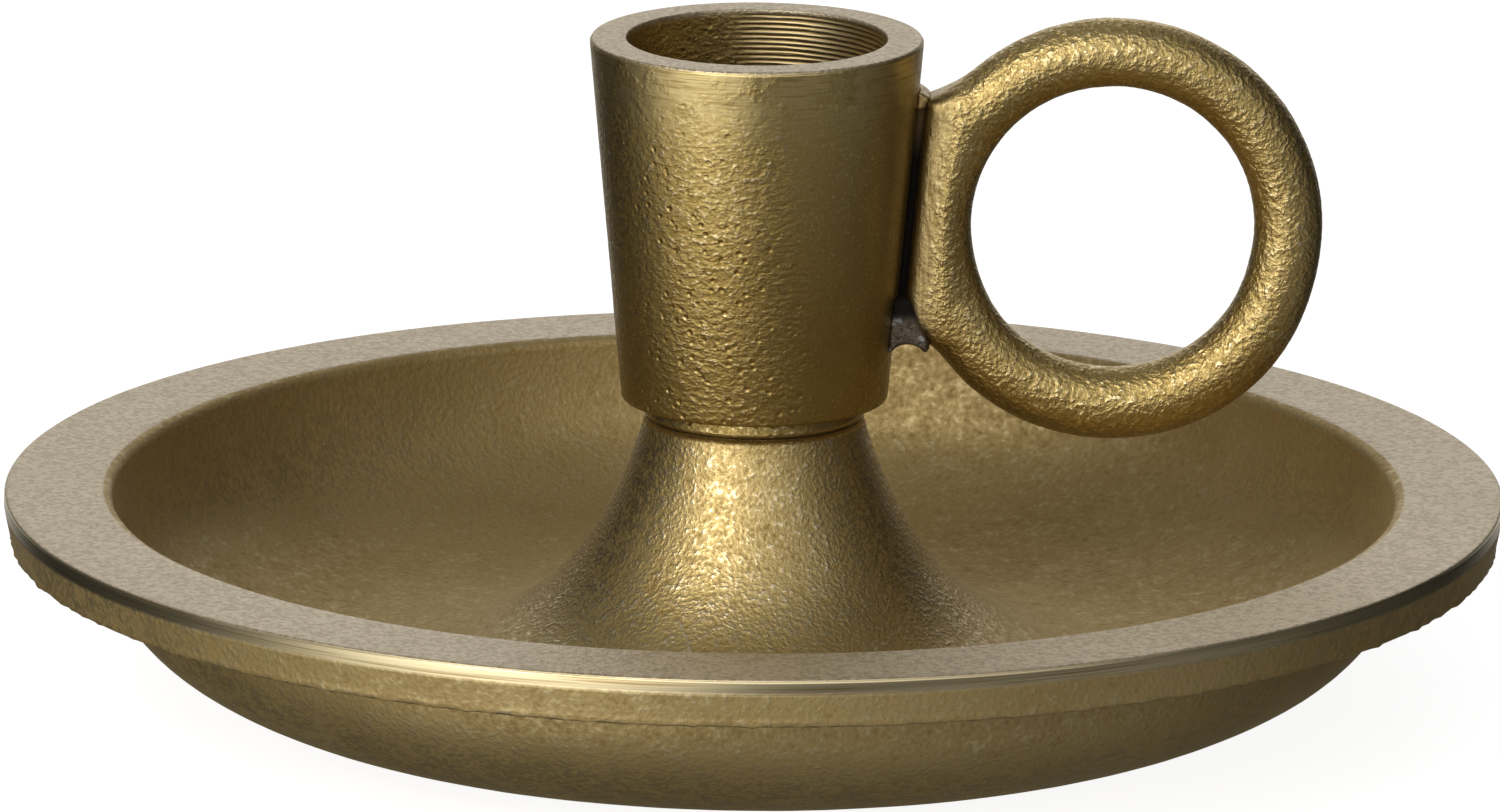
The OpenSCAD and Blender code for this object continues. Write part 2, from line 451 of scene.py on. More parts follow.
@dataclass(frozen=True)
class BrazeCrust(Finish):
    """Braze that ran and froze: dark with soot, with pale flux, a painted black shadow where it
    lies in the gap, and bronze at its top.
    """

    body: Colour = (0.10, 0.078, 0.052)
    soot: Colour = (0.03, 0.024, 0.018)
    flux: Colour = (0.42, 0.43, 0.43)
    # Painted shadow: near black for the braze in the shaded gap between ring and cup.
    gap_shadow: Colour = (0.008, 0.006, 0.005)
    bright: Colour = (0.15, 0.10, 0.042)
    gap_shadow_z: tuple[float, float] = (33.6 * MM, 34.8 * MM)
    bright_z: tuple[float, float] = (47.5 * MM, 52.0 * MM)
    crust_size: float = 0.5 * MM
    crust_depth: float = 0.16 * MM
    patch_size: float = 1.6 * MM

    def layer(self, g: Graph, place: Socket) -> Layer:
        """Builds the crust.

        Args:
            g: the material's graph.
            place: Object coordinates.

        Returns:
            The layer of braze.
        """
        crust = g.noise(place, self.crust_size, detail=4.0, roughness=0.6, distortion=0.4,
                        seed=41.0)
        patches = g.noise(place, self.patch_size, detail=3.0, roughness=0.6, seed=42.0)
        colour = g.tint(g.ramp(crust, 0.5, 0.35), self.body, self.soot)
        colour = g.tint(g.ramp(patches, 0.56, 0.66, 0.0, 0.85), colour, self.flux)
        height = g.split(place)[2]
        # Painted shadow: black above the lower height of the gap, and rough there.
        in_gap_shadow = g.ramp(height, *self.gap_shadow_z)
        colour = g.tint(in_gap_shadow, colour, self.gap_shadow)
        # Near the top the painted shadow gives way to bronze.
        colour = g.tint(g.ramp(height, *self.bright_z), colour, self.bright)
        roughness = g.blend(in_gap_shadow, g.ramp(patches, 0.5, 0.7, 0.42, 0.7), 0.9)
        return Layer(colour, roughness, g.mul(crust, self.crust_depth))


class BrassMaterial:
    """A brass material built of one layer over another, each shown where its attribute is 1."""

    def __init__(self, name: str, ground: Finish, metallic: float = 1.0) -> None:
        """Starts the material.

        Args:
            name: the material's name.
            ground: the finish that lies under all others.
            metallic: 1 for bare metal, less for a crust.
        """
        self.material = bpy.data.materials.new(name)
        self.material.use_nodes = True
        tree = self.material.node_tree
        tree.nodes.clear()
        self.g = Graph(tree)
        self.place = self.g.node("ShaderNodeTexCoord").outputs["Object"]
        self.metallic = metallic
        self.top = ground.layer(self.g, self.place)

    def attribute(self, zone: Zone) -> Socket:
        """The share of a zone at each point of the piece."""
        return self.g.node("ShaderNodeAttribute", {"attribute_name": zone.value}).outputs["Fac"]

    def cover(self, finish: Finish, mask: Socket) -> None:
        """Lays another finish over what is there.

        Args:
            finish: the finish to lay.
            mask: where it shows, 0 to 1.
        """
        upper = finish.layer(self.g, self.place)
        self.top = Layer(
            self.g.tint(mask, self.top.colour, upper.colour),
            self.g.blend(mask, self.top.roughness, upper.roughness),
            self.g.blend(mask, self.top.height, upper.height),
        )

    def finish(self) -> bpy.types.Material:
        """Joins the layers to the shader.

        Returns:
            The finished material.
        """
        g = self.g
        bump = g.node("ShaderNodeBump", Strength=1.0, Distance=1.0, Height=self.top.height)
        shader = g.node("ShaderNodeBsdfPrincipled", Base_Color=self.top.colour,
                        Metallic=self.metallic, Roughness=self.top.roughness,
                        Normal=bump.outputs[0])
        out = g.node("ShaderNodeOutputMaterial", Surface=shader.outputs[0])
        out.is_active_output = True
        return self.material


# ---------------------------------------------------------------- turned pieces


@dataclass
class Station:
    """A point of a profile, and how the stretch that leads to it is made."""

    r: float
    z: float
    zone: Zone
    step: float
    soften: float = 0.0


def quadratic(a: tuple[float, float], by: tuple[float, float], b: tuple[float, float],
              t: float) -> tuple[float, float]:
    """The point at t on the curve from a to b that leans towards a third point."""
    weights = ((1 - t) ** 2, 2 * t * (1 - t), t * t)
    return tuple(weights[0] * p + weights[1] * q + weights[2] * r for p, q, r in zip(a, by, b))


def make_guide(name: str, points: list[tuple[float, float, float]],
               shares: dict[Zone, list[float]]) -> bpy.types.Object:
    """Makes a chain of points for a tree to work from.

    Args:
        name: the name of the object and of its mesh.
        points: the chain.
        shares: the value of a zone at each point, where it isn't 0.

    Returns:
        The object, linked to the scene, with an attribute for each zone.
    """
    mesh = bpy.data.meshes.new(name)
    mesh.from_pydata(points, [(i, i + 1) for i in range(len(points) - 1)], [])
    for zone in Zone:
        values = shares.get(zone, [0.0] * len(points))
        mesh.attributes.new(zone.value, "FLOAT", "POINT").data.foreach_set("value", values)
    return add_object(name, mesh)


class Profile:
    """The half outline of a turned piece, as radius and height."""

    def __init__(self) -> None:
        """Starts without points."""
        self.stations: list[Station] = []

    def to(self, r: float, z: float, zone: Zone = Zone.CAST, step: float = 0.5 * MM,
           soften: float = 0.0) -> "Profile":
        """Adds a corner.

        Args:
            r: its radius.
            z: its height.
            zone: the finish of the stretch that leads to it.
            step: the longest edge on that stretch.
            soften: how far back from the corner its rounding starts.

        Returns:
            The profile itself, for the next call.
        """
        self.stations.append(Station(r, z, zone, step, soften))
        return self

    def arc(self, centre: tuple[float, float], radii: tuple[float, float], start: float,
            end: float, zone: Zone = Zone.CAST, step: float = 0.5 * MM) -> "Profile":
        """Adds points along an elliptical arc.

        Args:
            centre: radius and height of its centre.
            radii: its half sizes along radius and height.
            start: the first angle, in degrees from outwards towards up.
            end: the last angle.
            zone: the finish of the arc.
            step: the longest edge on it.

        Returns:
            The profile itself.
        """
        sweep = math.radians(end - start)
        count = max(2, math.ceil(abs(sweep) * max(radii) / step))
        for i in range(count + 1):
            angle = math.radians(start) + sweep * i / count
            self.to(centre[0] + radii[0] * math.cos(angle), centre[1] + radii[1] * math.sin(angle),
                    zone, step)
        return self

    def bend(self, by: tuple[float, float], end: tuple[float, float], zone: Zone = Zone.CAST,
             step: float = 0.5 * MM) -> "Profile":
        """Adds points along a curve that leaves the last point towards one and ends at another.

        Args:
            by: the point that the curve leans towards.
            end: its last point.
            zone: the finish of the curve.
            step: the longest edge on it.

        Returns:
            The profile itself.
        """
        start = (self.stations[-1].r, self.stations[-1].z)
        count = max(2, math.ceil(math.dist(start, end) / step))
        for i in range(1, count + 1):
            self.to(*quadratic(start, by, end, i / count), zone, step)
        return self

    def softened(self) -> list[Station]:
        """Rounds the corners that are to be softened.

        Returns:
            The stations with a short curve in place of each such corner.
        """
        curve_steps = 5
        done: list[Station] = []
        for i, s in enumerate(self.stations):
            if s.soften <= 0 or i in (0, len(self.stations) - 1):
                done.append(s)
                continue
            before, after = self.stations[i - 1], self.stations[i + 1]
            back = min(s.soften / math.hypot(before.r - s.r, before.z - s.z), 0.5)
            ahead = min(s.soften / math.hypot(after.r - s.r, after.z - s.z), 0.5)
            a = (s.r + (before.r - s.r) * back, s.z + (before.z - s.z) * back)
            b = (s.r + (after.r - s.r) * ahead, s.z + (after.z - s.z) * ahead)
            for k in range(curve_steps + 1):
                r, z = quadratic(a, (s.r, s.z), b, k / curve_steps)
                done.append(Station(r, z, s.zone, s.step))
        return done

    def rows(self) -> list[Station]:
        """Divides the long stretches.

        Returns:
            The stations, so close that no edge is longer than its step.
        """
        nearest = 0.002 * MM
        rows: list[Station] = []
        for s in self.softened():
            if rows:
                last = rows[-1]
                length = math.hypot(s.r - last.r, s.z - last.z)
                if length < nearest:
                    continue
                parts = max(1, math.ceil(length / s.step - 0.01))
                for k in range(1, parts):
                    t = k / parts
                    rows.append(Station(last.r + (s.r - last.r) * t,
                                        last.z + (s.z - last.z) * t, s.zone, s.step))
            rows.append(s)
        return rows

    def as_object(self, name: str) -> bpy.types.Object:
        """The profile as a mesh of points, with an attribute for each zone.

        Args:
            name: the object's name.

        Returns:
            The object, linked to the scene.
        """
        rows = self.rows()
        shares = {zone: [float(s.zone is zone) for s in rows] for zone in Zone}
        return make_guide(name, [(s.r, 0.0, s.z) for s in rows], shares)


@dataclass(frozen=True)
class SkinRelief:
    """The relief that the mould left in the metal itself, coarse enough to be real geometry."""

    wave_size: float
    wave_height: float
    lump_size: float
    lump_height: float
    seed: float

    def values(self) -> dict[str, float]:
        """The relief as inputs of a tree."""
        return dict(zip(SkinTree.SIZES, astuple(self)))


class SkinTree:
    """What the Geometry Nodes trees of the lathe and of the bar share."""

    SIZES = ("Wave Size", "Wave Height", "Lump Size", "Lump Height", "Seed")
    DRESSED_SHARE = 0.3
    BURR_SIZE = 1.1 * MM
    BURR_HEIGHT = 0.24 * MM
    WELD = 0.0005 * MM

    def __init__(self, name: str, counts: tuple[str, ...], sizes: tuple[str, ...]) -> None:
        """Makes the tree with its named inputs.

        Args:
            name: the tree's name.
            counts: names of its whole-number inputs.
            sizes: names of its other number inputs, next to those of the relief.
        """
        self.tree = bpy.data.node_groups.new(name, "GeometryNodeTree")
        face = self.tree.interface
        inputs = [("Geometry", "Geometry")]
        inputs += [(count, "Int") for count in counts]
        inputs += [(size, "Float") for size in sizes + self.SIZES]
        inputs += [("Material", "Material")]
        for title, kind in inputs:
            face.new_socket(name=title, in_out="INPUT", socket_type="NodeSocket" + kind)
        face.new_socket(name="Geometry", in_out="OUTPUT", socket_type="NodeSocketGeometry")
        self.g = Graph(self.tree)
        self.given = self.g.node("NodeGroupInput").outputs

    def grid(self, around: Socket) -> tuple[Socket, Socket, Socket]:
        """A sheet of points: one row of it for each point of the guide, copied around.

        Args:
            around: the number of steps around.

        Returns:
            The sheet, the turn of each point from 0 to 1, and its index on the guide.
        """
        g = self.g
        size = g.node("GeometryNodeAttributeDomainSize", {"component": "MESH"},
                      Geometry=self.given["Geometry"])
        along = size.outputs["Point Count"]
        sheet = g.node("GeometryNodeMeshGrid", Size_X=1.0, Size_Y=1.0,
                       Vertices_X=g.add(around, 1.0), Vertices_Y=along)
        index = g.node("GeometryNodeInputIndex").outputs[0]
        column = g.math("FLOOR", g.div(g.add(index, 0.5), along))
        row = g.sub(index, g.mul(column, along))
        return sheet.outputs["Mesh"], g.div(column, around), row

    def read(self, value: Socket, row: Socket, kind: str) -> Socket:
        """A value of the guide at one of its points."""
        return self.g.node("GeometryNodeSampleIndex", {"data_type": kind, "domain": "POINT"},
                           Geometry=self.given["Geometry"], Value=value, Index=row).outputs[0]

    def stored(self, name: str) -> Socket:
        """A number stored on the mesh under a name."""
        return self.g.node("GeometryNodeInputNamedAttribute", {"data_type": "FLOAT"},
                           Name=name).outputs["Attribute"]

    def place(self, sheet: Socket, position: Socket, row: Socket) -> Socket:
        """Puts the sheet in place, carries the zones over to it, and closes seams and poles.

        Args:
            sheet: the sheet.
            position: where each of its points goes.
            row: the index on the guide that each point belongs to.

        Returns:
            The closed surface.
        """
        g = self.g
        for zone in Zone:
            sheet = g.node("GeometryNodeStoreNamedAttribute",
                           {"data_type": "FLOAT", "domain": "POINT"}, Geometry=sheet,
                           Name=zone.value,
                           Value=self.read(self.stored(zone.value), row, "FLOAT")).outputs[0]
        sheet = g.node("GeometryNodeSetPosition", Geometry=sheet, Position=position).outputs[0]
        return g.node("GeometryNodeMergeByDistance", Geometry=sheet,
                      Distance=self.WELD).outputs[0]

    def emboss(self, surface: Socket) -> Socket:
        """Presses the relief into cast and dressed faces, and raises burrs along the lip.

        Args:
            surface: the closed surface.

        Returns:
            The surface with its relief.
        """
        g = self.g
        spot = g.node("GeometryNodeInputPosition").outputs[0]
        seed = self.given["Seed"]
        waves = g.noise(spot, self.given["Wave Size"], detail=1.0, seed=seed)
        lumps = g.noise(spot, self.given["Lump Size"], roughness=0.55, distortion=0.3,
                        seed=g.add(seed, 5.0))
        depth = g.add(g.mul(waves, self.given["Wave Height"]),
                      g.mul(lumps, self.given["Lump Height"]))
        share = g.add(g.add(self.stored(Zone.CAST.value), self.stored(Zone.LIP.value)),
                      g.mul(self.stored(Zone.DRESSED.value), self.DRESSED_SHARE))
        burrs = g.noise(spot, self.BURR_SIZE, detail=3.0, roughness=0.65, distortion=0.3,
                        seed=g.add(seed, 9.0))
        burrs = g.mul(g.ramp(burrs, 0.40, 0.70), self.stored(Zone.LIP.value))
        depth = g.sub(g.mul(burrs, self.BURR_HEIGHT), g.mul(depth, share))
        normal = g.node("GeometryNodeInputNormal").outputs[0]
        return g.node("GeometryNodeSetPosition", Geometry=surface,
                      Offset=g.vector("SCALE", normal, scale=depth)).outputs[0]

    def close(self, surface: Socket) -> None:
        """Ends the tree: smooth shading, real geometry, material, output.

        Args:
            surface: the finished surface.
        """
        g = self.g
        smooth = g.node("GeometryNodeSetShadeSmooth", Geometry=surface).outputs[0]
        real = g.node("GeometryNodeRealizeInstances", Geometry=smooth).outputs[0]
        painted = g.node("GeometryNodeSetMaterial", Geometry=real, Material=self.given["Material"])
        g.node("NodeGroupOutput", Geometry=painted.outputs[0])

    def run(self, guide: bpy.types.Object, values: dict[str, object]) -> bpy.types.Object:
        """Runs the tree on a guide and leaves the result as a plain mesh.

        Args:
            guide: the object that holds the guide.
            values: the tree's inputs by name.

        Returns:
            The same object, with the finished mesh and no modifier.
        """
        modifier = guide.modifiers.new(self.tree.name, "NODES")
        modifier.node_group = self.tree
        sockets = {item.name: item.identifier for item in self.tree.interface.items_tree
                   if item.item_type == "SOCKET" and item.in_out == "INPUT"}
        for name, value in values.items():
            modifier[sockets[name]] = value
        return settle(guide)


def settle(piece: bpy.types.Object) -> bpy.types.Object:
    """Turns a piece and its modifiers into a plain mesh.

    Args:
        piece: the object with live modifiers.

    Returns:
        The same object, without modifiers.
    """
    graph = bpy.context.evaluated_depsgraph_get()
    mesh = bpy.data.meshes.new_from_object(piece.evaluated_get(graph))
    piece.modifiers.clear()
    piece.data = mesh
    mesh.name = piece.name
    return piece


class LatheTree(SkinTree):
    """Turns a profile round the Z axis and gives it its cast relief."""

    def __init__(self) -> None:
        """Builds the tree."""
        super().__init__("lathe", ("Steps Round",), ())
        g = self.g
        sheet, turn, row = self.grid(self.given["Steps Round"])
        point = self.read(g.node("GeometryNodeInputPosition").outputs[0], row, "FLOAT_VECTOR")
        radius, _, height = g.split(point)
        angle = g.mul(turn, math.tau)
        position = g.xyz(g.mul(radius, g.math("COSINE", angle)),
                         g.mul(radius, g.math("SINE", angle)), height)
        self.close(self.emboss(self.place(sheet, position, row)))


# ---------------------------------------------------------------- the castings


class TurnedCasting(ABC):
    """A casting turned from a profile. Each kind names its piece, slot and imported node."""

    PIECE = ""
    SLOT = ""
    NODE = ""
    steps_round: int
    relief: SkinRelief

    @abstractmethod
    def profile(self) -> Profile:
        """The casting's half outline."""

    @abstractmethod
    def material(self) -> bpy.types.Material:
        """The casting's brass."""

    def build(self, lathe: LatheTree) -> bpy.types.Object:
        """Makes the piece.

        Args:
            lathe: the tree that turns profiles.

        Returns:
            The finished piece.
        """
        guide = self.profile().as_object(self.PIECE)
        values = {**self.relief.values(), "Material": self.material(),
                  "Steps Round": self.steps_round}
        return attach(lathe.run(guide, values), self.NODE)


@dataclass
class DripPan(TurnedCasting):
    """The round pan with its flat flange, cast in one with the hollow flared stem."""

    PIECE = "pan_casting"
    SLOT = "pan_brass"
    NODE = "drip_pan"

    foot_in: float = 30.0 * MM
    foot_rise: float = 1.09 * MM
    bowl_c: tuple[float, float] = (34.0 * MM, 13.2 * MM)
    bowl_r: tuple[float, float] = (22.4 * MM, 13.2 * MM)
    neck_fillet: float = 1.0 * MM
    flange_z: float = 14.2 * MM
    rim_z: float = 18.5 * MM
    band_h: float = 1.5 * MM
    edge_draft: float = 0.5 * MM
    chamfer: float = 0.25 * MM
    mouth_r: float = 55.5 * MM
    mouth_round: float = 1.0 * MM
    floor_r: tuple[float, float] = (20.474 * MM, 10.2 * MM)
    floor_start: float = 33.926 * MM
    floor_joins: float = -25.0
    wall_lean: tuple[float, float] = (54.6 * MM, 12.15 * MM)
    flare_low: tuple[float, float, float] = (32.026 * MM, 24.79 * MM, 20.79 * MM)
    flare_high: tuple[float, float, float] = (48.137 * MM, 35.253 * MM, 40.0 * MM)
    flare_angles: tuple[float, float, float] = (270.0, 213.0, 195.0)
    neck_r: float = 9.5 * MM
    seat_z: float = 24.9 * MM
    recess_r: float = 6.1 * MM
    recess_z: float = 22.1 * MM
    hole_r: float = 3.3 * MM
    hollow_z: float = 13.0 * MM
    wall: float = 3.0 * MM
    hollow_angles: tuple[float, float] = (209.7, 265.1)
    steps_round: int = 420
    dish_r: tuple[float, float] = (19.0 * MM, 27.0 * MM)
    relief: SkinRelief = SkinRelief(9.0 * MM, 0.10 * MM, 2.4 * MM, 0.03 * MM, 2.0)

    def profile(self) -> Profile:
        """Draws the pan's half outline.

        Returns:
            The profile, from the foot outwards, over the rim, through the dish, up the stem
            and back down inside it.
        """
        outer_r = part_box(self.NODE)[1].x
        hidden = 1.6 * MM
        under = 1.3 * MM
        seen = 0.7 * MM
        fine = 0.4 * MM
        fillet_c = (self.bowl_c[0] + self.bowl_r[0] + self.neck_fillet,
                    self.flange_z - self.neck_fillet)
        ball_c = (self.mouth_r + self.mouth_round, self.rim_z - self.mouth_round)
        low_c, high_c = self.flare_low[:2], self.flare_high[:2]
        p = Profile()
        p.to(self.foot_in, 0.0, Zone.TURNED)
        p.arc(self.bowl_c, self.bowl_r, 270, 360, step=under)
        p.arc(fillet_c, (self.neck_fillet,) * 2, 180, 90, step=fine)
        p.to(outer_r - self.edge_draft - self.chamfer, self.flange_z, step=0.8 * MM)
        p.to(outer_r - self.edge_draft, self.flange_z + self.chamfer, Zone.LIP, 0.2 * MM)
        p.to(outer_r, self.rim_z - self.band_h, step=fine)
        p.to(outer_r, self.rim_z - self.chamfer, Zone.TURNED, fine, 0.12 * MM)
        p.to(outer_r - self.chamfer, self.rim_z, Zone.DRESSED, fine, 0.12 * MM)
        p.to(self.mouth_r + self.mouth_round, self.rim_z, Zone.DRESSED, seen)
        p.arc(ball_c, (self.mouth_round,) * 2, 90, 180, step=0.2 * MM)
        joins = math.radians(self.floor_joins)
        p.bend(self.wall_lean, (self.floor_start + self.floor_r[0] * math.cos(joins),
                                self.flange_z + self.floor_r[1] * math.sin(joins)), step=seen)
        p.arc((self.floor_start, self.flange_z), self.floor_r, self.floor_joins, -90, step=seen)
        p.arc(low_c, (self.flare_low[2],) * 2, *self.flare_angles[:2], step=seen)
        p.arc(high_c, (self.flare_high[2],) * 2, *self.flare_angles[1:], step=0.6 * MM)
        p.to(self.neck_r, self.seat_z, step=fine, soften=0.2 * MM)
        p.to(self.recess_r, self.seat_z, Zone.TURNED, 0.8 * MM)
        p.to(self.recess_r, self.recess_z, Zone.TURNED, hidden)
        p.to(self.hole_r, self.recess_z, Zone.TURNED, hidden)
        p.to(self.hole_r, self.hollow_z, Zone.TURNED, hidden)
        p.arc(low_c, (self.flare_low[2] + self.wall,) * 2, *self.hollow_angles, step=hidden)
        p.to(self.foot_in, self.foot_rise, step=hidden)
        p.to(self.foot_in, 0.0, Zone.TURNED, hidden)
        return p

    def material(self) -> bpy.types.Material:
        """Mixes the pan's brass.

        Returns:
            Cast brass, duller in the dish. The flange is dressed and a band of its edge turned.
        """
        # The dark and pale grain colours are patina and wear, and also painted shade in the low
        # grain and painted highlight on the high grain.
        stem = CastSkin(body=(0.46, 0.345, 0.15), patina_and_shade=(0.27, 0.17, 0.04),
                        wear_and_sheen=(0.74, 0.63, 0.43), grain_size=0.38 * MM, grain_depth=0.10 * MM,
                        lump_size=0.9 * MM, lump_depth=0.05 * MM, roughness=(0.26, 0.56))
        dish = CastSkin(body=(0.46, 0.345, 0.155), patina_and_shade=(0.33, 0.23, 0.085),
                        wear_and_sheen=(0.54, 0.44, 0.24), grain_size=0.50 * MM, grain_depth=0.085 * MM,
                        lump_size=1.3 * MM, lump_depth=0.03 * MM, roughness=(0.52, 0.74),
                        spot_share=0.6)
        skin = BrassMaterial("pan brass", stem)
        g = skin.g
        x, y, _ = g.split(skin.place)
        radius = g.vector("LENGTH", g.xyz(x, y, 0.0))
        skin.cover(dish, g.ramp(radius, *self.dish_r))
        skin.cover(DressedFace(), skin.attribute(Zone.DRESSED))
        skin.cover(TurnedFace(), skin.attribute(Zone.TURNED))
        return skin.finish()


@dataclass
class CandleCup(TurnedCasting):
    """The tapered cup with its flat foot, its short neck and the spigot that seats it."""

    PIECE = "cup_casting"
    SLOT = "cup_brass"
    NODE = "candle_cup"

    tap_r: float = 3.05 * MM
    tap_z: float = 32.0 * MM
    spigot_r: float = 6.0 * MM
    spigot_z: float = 22.4 * MM
    seat_z: float = 24.9 * MM
    neck_r: tuple[float, float] = (9.42 * MM, 9.1 * MM)
    foot_z: float = 26.4 * MM
    low_r: float = 11.65 * MM
    low_z: float = 27.1 * MM
    top_r: float = 14.5 * MM
    bevel: float = 0.3 * MM
    bore_r: float = 11.25 * MM
    bore_z: float = 34.3 * MM
    smooth_h: float = 9.0 * MM
    bored_x: tuple[float, float] = (-1.5 * MM, 2.5 * MM)
    bored_rag: float = 4.0 * MM
    steps_round: int = 400
    relief: SkinRelief = SkinRelief(6.0 * MM, 0.08 * MM, 0.9 * MM, 0.05 * MM, 9.0)

    def wall_r(self, z: float) -> float:
        """The cup's outer radius at a height."""
        return self.low_r + self.slope() * (z - self.low_z)

    def slope(self) -> float:
        """How much the cup widens for each unit of height."""
        return (self.top_r - self.low_r) / (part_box(self.NODE)[1].z - self.low_z)

    def profile(self) -> Profile:
        """Draws the cup's half outline.

        Returns:
            The profile, from the tapped hole over the outside into the socket.
        """
        top_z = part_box(self.NODE)[1].z
        hidden = 2.0 * MM
        fine = 0.25 * MM
        worked_z = top_z - self.smooth_h
        p = Profile()
        p.to(0.0, self.tap_z, Zone.TURNED, hidden)
        p.to(self.tap_r, self.tap_z, Zone.TURNED, hidden)
        p.to(self.tap_r, self.spigot_z, Zone.TURNED, hidden)
        p.to(self.spigot_r, self.spigot_z, Zone.TURNED, hidden)
        p.to(self.spigot_r, self.seat_z, Zone.TURNED, hidden)
        p.to(self.neck_r[0], self.seat_z, Zone.TURNED, 0.6 * MM)
        p.to(self.neck_r[1], self.foot_z, Zone.CAST, 0.4 * MM)
        p.to(self.wall_r(self.foot_z), self.foot_z, Zone.CAST, 0.4 * MM, 0.4 * MM)
        p.to(self.wall_r(worked_z), worked_z, Zone.CAST, fine)
        p.to(self.wall_r(top_z - self.bevel), top_z - self.bevel, Zone.CAST, fine, 0.1 * MM)
        p.to(self.top_r - self.bevel, top_z, Zone.DRESSED, fine, 0.1 * MM)
        p.to(self.bore_r, top_z, Zone.DRESSED, fine, 0.18 * MM)
        p.to(self.bore_r, self.bore_z, Zone.BORED, 0.5 * MM)
        p.to(0.0, self.bore_z, Zone.TURNED, 1.2 * MM)
        return p

    def material(self) -> bpy.types.Material:
        """Mixes the cup's brass.

        Returns:
            Pitted cast brass, turned near the mouth and on one side of the socket.
        """
        # The dark and pale grain colours are patina and wear, and also painted shade in the low
        # grain and pits and painted highlight on the high grain.
        skin = BrassMaterial("cup brass", CastSkin(
            grain_size=0.28 * MM, grain_depth=0.03 * MM, lump_size=0.75 * MM,
            body=(0.43, 0.315, 0.115), patina_and_shade=(0.24, 0.15, 0.03), wear_and_sheen=(0.74, 0.62, 0.39),
            lump_depth=0.11 * MM, pit_size=1.1 * MM, pit_depth=0.08 * MM,
            roughness=(0.28, 0.50), stretch=(1.0, 1.0, 1.7), calm=(1.0 * MM, 8.0 * MM)))
        g = skin.g
        x, _, z = g.split(skin.place)
        top_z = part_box(self.NODE)[1].z
        near_mouth = g.mul(g.ramp(z, top_z - self.smooth_h, top_z), skin.attribute(Zone.CAST))
        broken = g.noise(skin.place, 3.0 * MM, detail=4.0, roughness=0.6, seed=61.0)
        skin.cover(TurnedFace(body=(0.56, 0.44, 0.20), groove=(0.36, 0.26, 0.10),
                              line_pitch=0.22 * MM, line_depth=0.02 * MM, roughness=0.36),
                   g.mul(near_mouth, g.ramp(broken, 0.3, 0.55)))
        skin.cover(DressedFace(), skin.attribute(Zone.DRESSED))
        side = g.add(x, g.mul(broken, self.bored_rag))
        bored = g.mul(skin.attribute(Zone.BORED), g.ramp(side, *self.bored_x))
        skin.cover(TurnedFace(line_pitch=0.3 * MM, line_depth=0.08 * MM, thread=0.45 * MM,
                              roughness=0.33), bored)
        skin.cover(TurnedFace(), skin.attribute(Zone.TURNED))
        return skin.finish()


class BarTree(SkinTree):
    """Sweeps the bar's section round the ring.

    Each point of the guide holds the inner reach, half the depth and the outer reach of the bar
    at one turn round the ring's centre.
    """

    def __init__(self) -> None:
        """Builds the tree."""
        super().__init__("ring bar", ("Steps Round", "Turns"),
                         ("Ring X", "Ring Z", "Roundness", "Squareness", "Back Taper"))
        g = self.g
        sheet, turn, row = self.grid(self.given["Steps Round"])
        inner, depth, outer = g.split(
            self.read(g.node("GeometryNodeInputPosition").outputs[0], row, "FLOAT_VECTOR"))
        filed = self.read(self.stored(Zone.FILED.value), row, "FLOAT")
        around = g.mul(turn, math.tau)
        u, v = g.math("COSINE", around), g.math("SINE", around)
        outward = g.math("GREATER_THAN", u, 0.0)
        power = g.blend(g.mul(outward, filed), self.given["Roundness"],
                        self.given["Squareness"])
        total = g.add(g.math("POWER", g.math("ABSOLUTE", u), power),
                      g.math("POWER", g.math("ABSOLUTE", v), power))
        swell = g.math("POWER", total, g.div(-1.0, power))
        u, v = g.mul(u, swell), g.mul(v, swell)
        taper = g.mul(g.mul(filed, g.math("MAXIMUM", u, 0.0)), self.given["Back Taper"])
        depth = g.mul(depth, g.sub(1.0, taper))
        half = g.mul(g.sub(outer, inner), 0.5)
        reach = g.add(g.add(inner, half), g.mul(half, u))
        angle = g.mul(g.div(row, self.given["Turns"]), math.tau)
        position = g.xyz(
            g.add(self.given["Ring X"], g.mul(reach, g.math("COSINE", angle))),
            g.mul(depth, v),
            g.add(self.given["Ring Z"], g.mul(reach, g.math("SINE", angle))))
        self.close(self.emboss(self.place(sheet, position, row)))


def smooth_step(value: float, low: float, high: float) -> float:
    """A smooth step from 0 at low to 1 at high."""
    t = min(max((value - low) / (high - low), 0.0), 1.0)
    return t * t * (3 - 2 * t)


